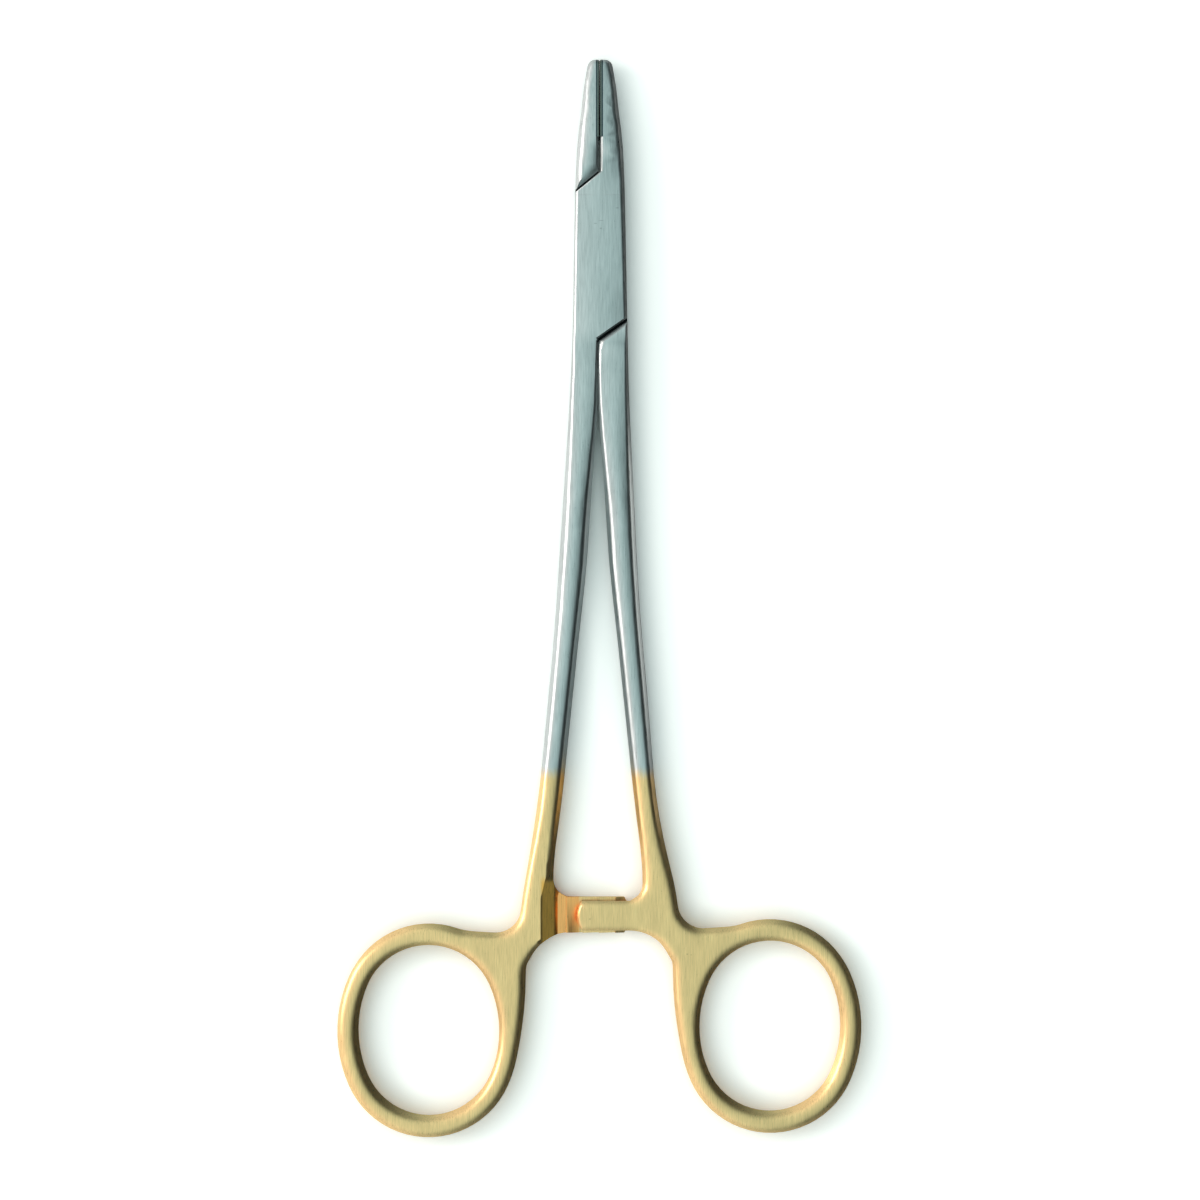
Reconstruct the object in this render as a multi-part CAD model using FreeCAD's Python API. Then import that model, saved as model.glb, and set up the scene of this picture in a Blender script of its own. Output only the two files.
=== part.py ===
import FreeCAD, Part
import math
import os

from FreeCAD import Vector

# Surgical needle holder, 160 mm, closed, lying flat.
# X runs across the tool, Y from the pivot towards the jaw tips, Z up.
# The pivot axis is X = Y = 0. Everything is drawn about the middle plane of the
# tool and lifted at the end, so that the underside of the box lock is Z = 0.
# Two forgings cross in the box lock: the box half has the slot, the left shank
# and the right jaw, and the tongue half has the tongue, the right shank and the
# left jaw. Each half is drawn as if it lay on the right, then set on its side.

# Lengths along the tool from the pivot axis, mm
jaw_length = 29.3
joint_corner_y = 12.45
joint_outer_y = 9.35
arm_reach = 97.7

# Box lock and jaws, mm
box_half_width = 3.86
box_half_thickness = 2.7
box_flat_y = 13.6
jaw_tip_half_width = 1.88
jaw_tip_half_thickness = 1.35
jaw_middle_y = 20.4
jaw_middle_half_width = 2.9
jaw_root_y = 11.5
jaw_root_half_width = 3.6
nose_radius = 1.2
joint_gap = 0.12
shank_lean = 0.3
jaw_facet = 0.9
shank_facet = 0.65
corner_facet = 0.8
corner_facet_x = 0.85
corner_facet_start = 0.55
corner_facet_angle = 251.0
facet_depth = 0.6
jaw_bevel = 0.24
upper_joint_bevel = 0.15
lower_joint_bevel = 0.35

# Tongue, slot and pivot pin, mm and degrees
tongue_half_thickness = 1.2
slot_side_clearance = 0.05
slot_end_clearance = 0.1
pin_radius = 1.6
pin_running_clearance = 0.05
largest_opening = 60.0

# Carbide inserts, mm
bite_x = -0.08
bite_gap = 0.04
jaw_relief = 0.2
insert_thickness = 0.5
insert_length = 11.7

# Shanks: share of the way from the box to the ratchet arm, and the distance of
# the outer and of the inner side from the centre line in mm
shank_stations = (
    (0.00, 4.10, 0.12),
    (0.10, 4.40, 0.12),
    (0.28, 5.26, 1.07),
    (0.38, 5.75, 1.62),
    (0.50, 6.43, 2.70),
    (0.63, 7.43, 3.85),
    (0.87, 9.76, 6.15),
)
shank_half_thickness = 2.1
shank_taper_length = 27.0
shank_lean_share = 0.4

# Finger rings, mm and degrees
ring_opening_width = 21.0
ring_opening_length = 25.5
ring_end_radius = 9.9
ring_band = 3.0
box_ring_x = 25.44
box_ring_below_arm = 17.1
tongue_ring_x = 25.26
tongue_ring_below_arm = 16.45

# Where the ring runs into the shank and the arm, mm and degrees
saddle_radius = 3.8
saddle_in_from_ring = 9.9
saddle_up_from_ring = 18.2
saddle_start_angle = 187.0
saddle_end_angle = 275.0
ring_top_angle = 109.5
ring_side_angle = 191.5
neck_in_from_ring = 14.4
crotch_radius = 6.5
arm_root_x = 6.62
arm_fillet_radius = 2.6

# Ratchet, mm
tooth_pitch = 2.41
tooth_depth = 0.65
tooth_rake = 0.08
teeth = 4
box_first_catch = 5.04
catch_gap = 0.02
layer_gap = 0.1
box_arm_width = 5.28
tongue_arm_width = 4.3
box_arm_tip = 4.4
tongue_arm_tip = 3.45
arm_tip_bulge = 0.8
relief_top_x = 8.8
relief_foot_x = 6.3
relief_run_out = 11.0

# Rounding of the long edges, mm, and the number of narrow flats in its quarter turn
jaw_round = 0.95
box_jaw_root_round = 0.85
tongue_jaw_root_round = 1.2
box_round = 0.55
shank_round = 1.2
inner_start_round = 0.22
arm_round = 0.5
ring_round = 1.05
flats = 4

# Worked out from the sizes above
shank_length = arm_reach - joint_corner_y
taper_end_y = -box_flat_y - shank_taper_length
join_y = taper_end_y - 5
arm_y = -arm_reach
turns = [90 / flats * i for i in range(flats + 1)]
slot_half_thickness = tongue_half_thickness + slot_side_clearance
slot_radius = box_half_width / math.cos(math.radians(largest_opening / 2)) + slot_end_clearance
tongue_radius = slot_radius - slot_end_clearance
bore_radius = pin_radius + pin_running_clearance
insert_start_y = jaw_length - insert_length
tongue_first_catch = teeth * tooth_pitch - box_first_catch - catch_gap
crest_z = -layer_gap / 2
valley_z = crest_z - tooth_depth
beyond = 60.0

BOX = {
    "bite_x": -bite_x - bite_gap / 2,
    "jaw_x": -bite_x - jaw_relief,
    "jaw_root_round": box_jaw_root_round,
    "lean": shank_lean,
    "ring_x": box_ring_x,
    "ring_y": -arm_reach - box_ring_below_arm,
    "arm_width": box_arm_width,
    "arm_tip": box_arm_tip,
    "first_catch": box_first_catch,
}
TONGUE = {
    "bite_x": bite_x - bite_gap / 2,
    "jaw_x": bite_x - jaw_relief,
    "jaw_root_round": tongue_jaw_root_round,
    "lean": -shank_lean,
    "ring_x": tongue_ring_x,
    "ring_y": -arm_reach - tongue_ring_below_arm,
    "arm_width": tongue_arm_width,
    "arm_tip": tongue_arm_tip,
    "first_catch": tongue_first_catch,
}


def at(x, y):
    return Vector(x, y, 0)


def towards(angle):
    turn = math.radians(angle)
    return Vector(math.cos(turn), math.sin(turn), 0)


def spline(points, start, end):
    """A smooth curve through points that leaves and arrives along two directions."""
    curve = Part.BSplineCurve()
    curve.interpolate(Points=points, InitialTangent=start, FinalTangent=end)
    return curve


def parameter_at(curve, y):
    """Where a curve that runs steadily down the tool crosses the height y."""
    low, high = curve.FirstParameter, curve.LastParameter
    for _ in range(60):
        middle = (low + high) / 2
        if curve.value(middle).y > y:
            low = middle
        else:
            high = middle
    return (low + high) / 2


def point_at(curve, y):
    return curve.value(parameter_at(curve, y))


def stretch(curve, y_from, y_to):
    """The edge of a curve from one height down to a lower one."""
    return curve.toShape(parameter_at(curve, y_from), parameter_at(curve, y_to))


def line(a, b):
    return Part.makeLine(a, b)


def arc_about(centre, radius, start, end):
    angles = (start, (start + end) / 2, end)
    return Part.Arc(*[centre + towards(a) * radius for a in angles]).toShape()


def prism(edges, z_from, z_to):
    wire = Part.Wire(Part.__sortEdges__(edges))
    solid = Part.Face(wire).extrude(Vector(0, 0, z_to - z_from))
    solid.translate(Vector(0, 0, z_from))
    return solid


def polygon_prism(points, z_from, z_to):
    return prism([line(points[i - 1], points[i]) for i in range(len(points))], z_from, z_to)


def block(x_from, x_to, y_from, y_to, z_from, z_to):
    return Part.makeBox(x_to - x_from, y_to - y_from, z_to - z_from, Vector(x_from, y_from, z_from))


def disc(radius, half_height):
    return Part.makeCylinder(radius, 2 * half_height, Vector(0, 0, -half_height))


def turned_over(shape):
    """The same shape with its upper and lower faces changed over."""
    return shape.mirror(Vector(0, 0, 0), Vector(0, 0, 1))


def to_left(shape):
    return shape.mirror(Vector(0, 0, 0), Vector(1, 0, 0))


def one_solid(shape):
    return shape.removeSplitter().Solids[0]


def eased(point, inwards, radius, top, turn):
    """The place on a rounded edge after part of its quarter turn from the wall to the top."""
    angle = math.radians(turn)
    raised = Vector(0, 0, top - radius * (1 - math.sin(angle)))
    return point + inwards * radius * (1 - math.cos(angle)) + raised


def radius_at(y, marks):
    """The rounding at a height, from a list of heights and radii running down the tool."""
    for (high, start), (low, end) in zip(marks, marks[1:]):
        if y > low:
            return start + (end - start) * min(1.0, (high - y) / (high - low))
    return marks[-1][1]


def easing_cutter(stations):
    """What comes off along one edge; a station is a place, the way into the metal, radius and top."""
    wires = []
    for point, inwards, radius, top in stations:
        places = [eased(point, inwards, radius, top, turn) for turn in turns]
        places[0] += (places[0] - places[1]) * 0.4
        places[-1] += (places[-1] - places[-2]) * 0.4
        above = Vector(places[-1])
        above.z = top + 1
        places += [above, point - inwards + Vector(0, 0, top + 1)]
        wires.append(Part.makePolygon(places + places[:1]))
    return Part.makeLoft(wires, True, True)


# Sides of the tool


def shank_side(half, column):
    """Points down one side of a shank; column 1 is the outer side, 2 the inner."""
    points = []
    for station in shank_stations:
        share = station[0]
        grown = min(1.0, share / shank_lean_share) if column == 1 else 1.0
        x = station[column] + half["lean"] * grown
        points.append(at(x, -joint_corner_y - share * shank_length))
    return points


def saddle_centre(half):
    return at(half["ring_x"] - saddle_in_from_ring, half["ring_y"] + saddle_up_from_ring)


def outer_side(half):
    """One smooth line from the nose of the jaws down to the saddle above the ring."""
    points = [
        at(jaw_tip_half_width, jaw_length - nose_radius),
        at(jaw_middle_half_width, jaw_middle_y),
        at(jaw_root_half_width, jaw_root_y),
        at(box_half_width, 0),
    ]
    points += shank_side(half, 1)
    points.append(saddle_centre(half) + towards(saddle_start_angle) * saddle_radius)
    return spline(points, at(0, -1), towards(saddle_start_angle + 90))


def arm_top(half):
    return arm_y + half["arm_width"] / 2


def arm_bottom(half):
    return arm_y - half["arm_width"] / 2


def inner_side(half):
    """The line down the inside of a shank to the fillet above its ratchet arm."""
    points = shank_side(half, 2)
    points.append(at(arm_root_x + half["lean"], arm_top(half) + arm_fillet_radius))
    return spline(points, at(0, -1), at(0, -1))


# Finger ring, shank and ratchet arm


def ring_arcs(half):
    """The four arcs of the finger opening: centre, radius and the directions it runs between."""
    side = ring_opening_width / 2
    end = ring_opening_length / 2 - ring_end_radius
    side_radius = (side ** 2 + end ** 2 - ring_end_radius ** 2) / (2 * (side - ring_end_radius))
    offset = side_radius - side
    turn = math.degrees(math.atan2(end, offset))
    ring = at(half["ring_x"], half["ring_y"])
    return (
        (ring + at(offset, 0), side_radius, 180 - turn, 180 + turn),
        (ring - at(0, end), ring_end_radius, 180 + turn, 360 - turn),
        (ring - at(offset, 0), side_radius, 360 - turn, 360 + turn),
        (ring + at(0, end), ring_end_radius, 360 + turn, 540 - turn),
    )


def ring_edges(half, grow, height, start=0, end=720):
    """Arcs of the ring's oval between two directions, grown outwards and set at a height."""
    edges = []
    for centre, radius, low, high in ring_arcs(half):
        if max(low, start) < min(high, end):
            centre = centre + Vector(0, 0, height)
            edges.append(arc_about(centre, radius + grow, max(low, start), min(high, end)))
    return edges


def arm_points(half):
    """Corners of the arm: top at its root, top and bottom at its tip, bottom at its root."""
    top = arm_top(half)
    bottom = arm_bottom(half)
    tip = -half["arm_tip"] + arm_tip_bulge
    neck_x = half["ring_x"] - neck_in_from_ring
    root = arm_root_x + half["lean"] - arm_fillet_radius
    return at(root, top), at(tip, top), at(tip, bottom), at(neck_x - crotch_radius, bottom)


def even(start, end, step):
    """Evenly spaced values from start to end, about a step apart."""
    count = max(1, round(abs(end - start) / step))
    return [start + (end - start) * i / count for i in range(count + 1)]


def handle_wire(half, turn):
    """The handle's outline part of the way round its eased edge, or at mid height for no turn."""
    def place(point, inwards, radius):
        if turn is None:
            return point
        return eased(point, inwards, radius, shank_half_thickness, turn)

    def bend(centre, radius, start, end, first, last):
        """An inside corner, clockwise about its centre; its easing changes from first to last."""
        points = []
        for share in (0, 0.25, 0.5, 0.75, 1):
            way = towards(start + (end - start) * share)
            points.append(place(centre + way * radius, way, first + (last - first) * share))
        if first == last:
            return Part.Arc(points[0], points[2], points[4])
        return spline(points, towards(start - 90), towards(end - 90))

    outer = outer_side(half)
    inner = inner_side(half)
    root, tip_top, tip_bottom, crotch = arm_points(half)
    left_arc, _, _, top_arc = ring_arcs(half)
    saddle = saddle_centre(half)

    fillet = bend(root + at(0, arm_fillet_radius), arm_fillet_radius, 0, -90, shank_round, arm_round)
    heights = even(join_y, arm_top(half) + arm_fillet_radius, 9)
    places = [place(point_at(inner, y), at(1, 0), shank_round) for y in heights]
    start_way = inner.tangent(parameter_at(inner, join_y))[0]
    inside = spline(places[:-1] + [fillet.value(fillet.FirstParameter)], start_way, at(0, -1))

    arc = bend(saddle, saddle_radius, saddle_end_angle, saddle_start_angle, ring_round, ring_round)
    heights = even(outer.value(outer.LastParameter).y, join_y, 9)
    places = [place(point_at(outer, y), at(-1, 0), shank_round) for y in heights]
    end_way = outer.tangent(parameter_at(outer, join_y))[0] * -1
    outside = spline([arc.value(arc.LastParameter)] + places[1:], towards(saddle_start_angle - 90), end_way)

    corner = place(at(0, 0), at(1, 0), arm_round)
    tip_radius = ((half["arm_width"] / 2) ** 2 + arm_tip_bulge ** 2) / (2 * arm_tip_bulge)
    tip_x = tip_radius - half["arm_tip"]
    up = half["arm_width"] / 2 - corner.x
    back = math.sqrt((tip_radius - corner.x) ** 2 - up ** 2)
    tip = Part.Arc(
        Vector(tip_x - back, arm_y + up, corner.z),
        Vector(tip_x - tip_radius + corner.x, arm_y, corner.z),
        Vector(tip_x - back, arm_y - up, corner.z),
    )

    below = bend(crotch - at(0, crotch_radius), crotch_radius, 90, 0, arm_round, ring_round)
    grow = ring_band - place(at(0, 0), at(1, 0), ring_round).x
    height = place(at(0, 0), at(1, 0), ring_round).z
    ring = ring_edges(half, grow, height, ring_side_angle, ring_top_angle + 360)
    side = left_arc[0] + towards(ring_side_angle) * (left_arc[1] + grow) + Vector(0, 0, height)
    top = top_arc[0] + towards(ring_top_angle) * (top_arc[1] + grow) + Vector(0, 0, height)
    neck = spline([below.value(below.LastParameter), side], at(0, -1), towards(ring_side_angle + 90))
    ends = [top, arc.value(arc.FirstParameter)]
    shoulder = spline(ends, towards(ring_top_angle + 90), towards(saddle_end_angle - 90))

    edges = [
        inside.toShape(),
        fillet.toShape(),
        line(fillet.value(fillet.LastParameter), tip.value(tip.FirstParameter)),
        tip.toShape(),
        line(tip.value(tip.LastParameter), below.value(below.FirstParameter)),
        below.toShape(),
        neck.toShape(),
    ]
    edges += ring
    edges += [
        shoulder.toShape(),
        arc.toShape(),
        outside.toShape(),
        line(outside.value(outside.LastParameter), inside.value(inside.FirstParameter)),
    ]
    return Part.Wire(edges)


def finger_opening(half):
    """The finger opening in the upper half of the ring, flared by the eased edge."""
    wires = [Part.Wire(ring_edges(half, 0, -1))]
    for turn in turns:
        place = eased(at(0, 0), at(1, 0), ring_round, shank_half_thickness, turn)
        wires.append(Part.Wire(ring_edges(half, place.x, place.z)))
    wires.append(Part.Wire(ring_edges(half, ring_round, shank_half_thickness + 1)))
    return Part.makeLoft(wires, True, True)


def handle(half):
    """Lower shank, ratchet arm and finger ring, up to where the shank starts to thicken."""
    wires = [handle_wire(half, turn) for turn in [None] + turns]
    upper = Part.makeLoft(wires, True, True).cut(finger_opening(half))
    return upper.fuse(turned_over(upper))


def tooth_line(half):
    """The toothed side of a ratchet arm in X and Z, from its root past its tip."""
    points = [Vector(relief_foot_x, 0, valley_z)]
    for i in range(teeth):
        x = half["first_catch"] - i * tooth_pitch
        points.append(Vector(x, 0, valley_z))
        points.append(Vector(x - tooth_rake, 0, crest_z))
    points.append(Vector(half["first_catch"] - teeth * tooth_pitch, 0, valley_z))
    return points


def relief(half):
    """What is cut away above a lower arm: its teeth, and a slope down from the shank."""
    slope = (relief_top_x - relief_foot_x) / (shank_half_thickness - valley_z)
    high = 2 * shank_half_thickness
    high_x = relief_foot_x + slope * (high - valley_z)
    far = [Vector(-beyond, 0, valley_z), Vector(-beyond, 0, high), Vector(high_x, 0, high)]
    points = tooth_line(half) + far
    wire = Part.makePolygon(points + points[:1])
    low_y = arm_bottom(half) - 2 * crotch_radius
    teeth_cut = Part.Face(wire).extrude(Vector(0, arm_top(half) - low_y, 0))
    teeth_cut.translate(Vector(0, low_y, 0))
    inner = inner_side(half)
    end_y = arm_top(half) + relief_run_out
    drift = point_at(inner, end_y).x - relief_top_x
    plain = [Vector(relief_foot_x, 0, valley_z)] + far
    near = Part.makePolygon(plain + plain[:1])
    away = near.copy()
    near.translate(Vector(0, arm_top(half), 0))
    away.translate(Vector(drift, end_y, 0))
    return teeth_cut.fuse(Part.makeLoft([near, away], True, True))


# Side view


def profile_curves():
    """Half the thickness along the tool: jaws, box, taper of the shank, as X = Y place, Y = height."""
    tip = at(jaw_length, jaw_tip_half_thickness)
    jaw_root = at(box_flat_y, box_half_thickness)
    slope = (jaw_tip_half_thickness - box_half_thickness) / (jaw_length - box_flat_y)
    jaws = spline([jaw_root, tip], at(1, 0), at(1, 1.25 * slope))
    start = at(-box_flat_y, box_half_thickness)
    end = at(taper_end_y, shank_half_thickness)
    return jaws, spline([start, end], at(-1, 0), at(-1, 0))


def half_thickness(y):
    """Half the thickness of the tool at a height."""
    if abs(y) <= box_flat_y:
        return box_half_thickness
    if y <= taper_end_y:
        return shank_half_thickness
    jaws, taper = profile_curves()
    curve = jaws if y > 0 else taper
    low, high = curve.FirstParameter, curve.LastParameter
    for _ in range(40):
        middle = (low + high) / 2
        if abs(curve.value(middle).x) < abs(y):
            low = middle
        else:
            high = middle
    return curve.value(low).y


def side_profile(lowest_y):
    """The side view of jaws, box and upper shanks as a solid wider than the tool."""
    jaws, taper = profile_curves()
    box_ends = (at(box_flat_y, box_half_thickness), at(-box_flat_y, box_half_thickness))
    low_ends = (at(taper_end_y, shank_half_thickness), at(lowest_y, shank_half_thickness))
    top = [jaws.toShape(), line(*box_ends), taper.toShape(), line(*low_ends)]
    below = [edge.mirror(Vector(0, 0, 0), Vector(0, 1, 0)) for edge in top]
    ends = []
    for x, height in ((jaw_length, jaw_tip_half_thickness), (lowest_y, shank_half_thickness)):
        ends.append(line(at(x, height), at(x, -height)))
    solid = prism(top + below + ends, -beyond, beyond)
    solid.rotate(Vector(0, 0, 0), Vector(1, 1, 1), 120)
    return solid


# Box lock


def joint_ends(own, other):
    """Ends of the two slanted joint lines: outside and corner above, outside and corner below.

    The joint lines of the box half are the real ones. The tongue half has the
    same outline first and is cut back from the real lines afterwards.
    """
    upper_outside = point_at(outer_side(own), joint_outer_y)
    lower_outside = to_left(Part.Vertex(point_at(outer_side(other), -joint_outer_y))).Point
    upper_corner = at(own["jaw_x"], joint_corner_y)
    lower_corner = shank_side(own, 2)[0]
    return upper_outside, upper_corner, lower_outside, lower_corner


def edge_stations(curve, side, y_from, y_to, marks):
    """Stations for easing one long side; side is 1 where the metal lies on the left of it."""
    stations = []
    for y in even(y_from, y_to, 4.5):
        point = point_at(curve, y)
        stations.append((point, at(-side, 0), radius_at(y, marks), half_thickness(y)))
    return stations


def nose_stations(own):
    """Stations for easing the nose, from beyond its biting face round the corner."""
    corner = at(-jaw_tip_half_width + nose_radius, jaw_length - nose_radius)
    places = [(at(own["bite_x"] + 1, jaw_length), at(0, -1))]
    for angle in (90, 112, 135, 157):
        places.append((corner + towards(angle) * nose_radius, towards(angle) * -1))
    stations = []
    for point, inwards in places:
        top = half_thickness((point + inwards * jaw_round).y)
        stations.append((point, inwards, jaw_round, top))
    return stations


def mirrored_stations(stations):
    return [(at(-p.x, p.y), at(-way.x, way.y), radius, top) for p, way, radius, top in stations]


def blank(own, other):
    """Jaw, box and upper shank in one piece, with the jaw on the left and the shank on the right."""
    shank_outer = outer_side(own)
    shank_inner = inner_side(own)
    jaw_outer = outer_side(other)
    upper_outside, upper_corner, lower_outside, lower_corner = joint_ends(own, other)
    shoulder = at(-jaw_tip_half_width, jaw_length - nose_radius)
    nose_top = shoulder + at(nose_radius, nose_radius)
    face = at(own["bite_x"], jaw_length)
    step = at(own["bite_x"], insert_start_y)
    jaw_side = jaw_outer.toShape(jaw_outer.FirstParameter, parameter_at(jaw_outer, -joint_outer_y))
    outline = [
        line(face, nose_top),
        arc_about(shoulder + at(nose_radius, 0), nose_radius, 90, 180),
        to_left(jaw_side),
        line(lower_outside, lower_corner),
        shank_inner.toShape(shank_inner.FirstParameter, parameter_at(shank_inner, join_y)),
        line(point_at(shank_outer, join_y), point_at(shank_inner, join_y)),
        stretch(shank_outer, joint_outer_y, join_y),
        line(upper_outside, upper_corner),
        line(upper_corner, at(own["jaw_x"], insert_start_y)),
        line(at(own["jaw_x"], insert_start_y), step),
        line(step, face),
    ]
    solid = prism(outline, -beyond, beyond).common(side_profile(join_y - 1))
    jaw_marks = [(jaw_length, jaw_round), (box_flat_y, own["jaw_root_round"]), (-box_flat_y, box_round)]
    outer_marks = [(box_flat_y, box_round), (-box_flat_y, box_round), (taper_end_y, shank_round)]
    inner_marks = [(-joint_corner_y, inner_start_round), (taper_end_y, shank_round)]
    jaw = edge_stations(jaw_outer, 1, jaw_length - nose_radius, -joint_outer_y - 1, jaw_marks)
    cutters = [
        easing_cutter(nose_stations(own) + mirrored_stations(jaw)),
        easing_cutter(edge_stations(shank_outer, 1, joint_outer_y + 1, join_y, outer_marks)),
        easing_cutter(edge_stations(shank_inner, -1, -joint_corner_y, join_y, inner_marks)),
    ]
    for cutter in cutters:
        solid = solid.cut(cutter).cut(turned_over(cutter))
    return solid


def forging(own, other):
    """A whole half before its lock is cut: jaw, box, shank, ratchet arm and finger ring."""
    return one_solid(blank(own, other).fuse(handle(own)))


def facet(solid, start, end, width, depth, z_start, z_end):
    """Take the upper and lower edges off a wall that runs from start to end.

    The solid lies to the left of that direction. The facet reaches in from the
    wall by the width and down it by the depth.
    """
    along = (end - start).normalize()
    inwards = Vector(-along.y, along.x, 0)
    wires = []
    for foot, z in ((start, z_start), (end, z_end)):
        low = foot - inwards * width + Vector(0, 0, z - 2 * depth)
        high = foot + inwards * 2 * width + Vector(0, 0, z + depth)
        over = foot - inwards * width + Vector(0, 0, z + depth)
        wires.append(Part.makePolygon([low, high, over, low]))
    wedge = Part.makeLoft(wires, True, True)
    return solid.cut(wedge).cut(turned_over(wedge))


def insert_space(half):
    """Where the carbide insert of a half sits in its jaw, drawn on the left."""
    x = half["bite_x"]
    y = insert_start_y
    return block(x - insert_thickness, x + 1, y, beyond, -beyond, beyond)


def bevelled_jaw(solid, half):
    """Bevel the inner edges of a jaw between the box and the insert."""
    start = at(half["jaw_x"], joint_corner_y)
    end = at(half["jaw_x"], insert_start_y)
    z_end = half_thickness(insert_start_y)
    return facet(solid, start, end, jaw_bevel, jaw_bevel, box_half_thickness, z_end)


def box_half(whole):
    """The half with the slot, the left shank and the right jaw."""
    t = slot_half_thickness
    x = shank_side(BOX, 2)[0].x
    above = block(BOX["jaw_x"], beyond, 0, joint_corner_y + 1, -t, t)
    below = block(-beyond, x, -joint_corner_y - 1, 0, -t, t)
    solid = whole.cut(disc(slot_radius, t).fuse([above, below]))
    solid = solid.cut(disc(pin_radius, beyond))
    solid = solid.cut(insert_space(BOX)).cut(relief(BOX))
    upper_outside, upper_corner, lower_outside, lower_corner = joint_ends(BOX, TONGUE)
    for outside, corner, bevel in (
        (upper_outside, upper_corner, upper_joint_bevel),
        (lower_outside, lower_corner, lower_joint_bevel),
    ):
        start = outside + (outside - corner) * 0.3
        solid = facet(solid, start, corner, bevel, bevel, box_half_thickness, box_half_thickness)
    return to_left(one_solid(bevelled_jaw(solid, BOX)))


def tongue_half(whole):
    """The half with the tongue, the right shank and the left jaw."""
    t = tongue_half_thickness
    ends = joint_ends(BOX, TONGUE)
    upper_outside, upper_corner, lower_outside, lower_corner = [to_left(Part.Vertex(p)).Point for p in ends]
    slope = (upper_corner.y - upper_outside.y) / (upper_corner.x - upper_outside.x)
    shift = at(0, joint_gap * math.hypot(1, slope))
    far = at(box_half_width * 2, 0)
    upper_way = (upper_outside - upper_corner) * 2
    lower_way = (lower_outside - lower_corner) * 2
    upper = [upper_corner + shift, upper_corner + shift + upper_way]
    lower = [lower_corner - shift, lower_corner - shift + lower_way]
    space = polygon_prism(
        [upper[0] + far, upper[0], upper[1], lower[0] - far, lower[0], lower[1]], -beyond, beyond
    )
    x = shank_side(TONGUE, 2)[0].x
    above = block(-beyond, TONGUE["jaw_x"], 0, joint_corner_y + 1, -t, t)
    below = block(x, beyond, -joint_corner_y - 1, 0, -t, t)
    tongue = disc(tongue_radius, t).fuse([above, below])
    solid = whole.cut(space.cut(tongue)).cut(disc(bore_radius, beyond))
    solid = solid.cut(insert_space(TONGUE)).cut(turned_over(relief(TONGUE)))
    z = box_half_thickness
    solid = facet(solid, upper[1], upper[0], jaw_facet, facet_depth, z, z)
    solid = facet(solid, lower[1], lower[0], shank_facet, facet_depth, z, z)
    way = towards(corner_facet_angle)
    brow = at(corner_facet_x, corner_facet_start - joint_corner_y)
    wall = brow - towards(corner_facet_angle + 90) * corner_facet
    solid = facet(solid, wall - way * 1.5, wall + way * 5, corner_facet, facet_depth, z, z)
    return one_solid(bevelled_jaw(solid, TONGUE))


def pivot_pin():
    return disc(pin_radius, box_half_thickness)


def build():
    box_forging = forging(BOX, TONGUE)
    tongue_forging = forging(TONGUE, BOX)
    return {
        "box_half": box_half(box_forging),
        "tongue_half": tongue_half(tongue_forging),
        "pivot_pin": pivot_pin(),
        "box_jaw_insert": to_left(one_solid(box_forging.common(insert_space(BOX)))),
        "tongue_jaw_insert": one_solid(tongue_forging.common(insert_space(TONGUE))),
    }


if __name__ == "__main__":
    os.makedirs("parts", exist_ok=True)
    for name, shape in build().items():
        shape.translate(Vector(0, 0, box_half_thickness))
        shape.exportStep("parts/" + name + ".step")
        print(name, shape.ShapeType, len(shape.Solids), shape.isValid(), round(shape.Volume, 3))
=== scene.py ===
import math

import bmesh
import bpy
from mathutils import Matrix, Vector


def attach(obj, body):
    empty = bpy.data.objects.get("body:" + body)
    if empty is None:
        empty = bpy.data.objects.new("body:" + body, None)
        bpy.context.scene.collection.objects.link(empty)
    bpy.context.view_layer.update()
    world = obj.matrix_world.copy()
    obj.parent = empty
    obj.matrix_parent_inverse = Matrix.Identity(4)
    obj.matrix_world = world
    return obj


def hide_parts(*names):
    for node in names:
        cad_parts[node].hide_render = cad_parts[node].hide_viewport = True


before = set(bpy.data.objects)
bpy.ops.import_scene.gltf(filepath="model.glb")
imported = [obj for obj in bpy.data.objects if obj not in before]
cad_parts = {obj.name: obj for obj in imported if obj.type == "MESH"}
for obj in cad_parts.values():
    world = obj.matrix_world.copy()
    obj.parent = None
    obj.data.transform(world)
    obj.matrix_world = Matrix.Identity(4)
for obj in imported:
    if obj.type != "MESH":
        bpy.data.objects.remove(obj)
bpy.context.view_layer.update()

# Surgical needle holder, 160 mm, closed, lying flat. X runs across the tool, Y from
# the pivot towards the jaw tips, Z up. Sizes are in mm, and times MM in metres.
MM = 0.001

# Half the tool's thickness, which is the height of its middle plane
MIDDLE_HEIGHT = 2.7
# Edges that turn by more degrees than this stay crisp
CRISP_ANGLE = 25
# Where streaks, grain and clouds, which are noise around 0.5, are lowest and highest
NOISE_LOW, NOISE_HIGH = 0.3, 0.7

# The two slanted joint lines of the box lock: both ends, and where the painted dark line of shade in the joint
# starts and stops above them
LOWER_JOINT = ((-0.42, -12.45), (4.04, -9.35), -0.22, 0.14)
UPPER_JOINT = ((0.12, 12.45), (-3.67, 9.35), 0.02, 0.32)

# Jaws that are fuller than the CAD's: from where to where along the tool, and by how much at most
FULLER_START, FULLER_END, FULLER_MOST = 20.4, 28.3, 0.28
# What lies nearer to the middle line than this isn't the outer side of a jaw
JAW_SIDE_X = 0.9

# Biting faces: how deep the teeth are cut, how far they start inside their floor, and
# how far their points stand past the CAD's face towards the other jaw
TOOTH_DEPTH = 0.11
TOOTH_ROOT = 0.01
TOOTH_PAST_FACE = 0.018
INSERT_START = 17.6
LAND_HEIGHT, LAND_SLOPE = 0.35, 0.12
BOX_BITE_X, TONGUE_BITE_X = -0.06, -0.10


# Materials


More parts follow.
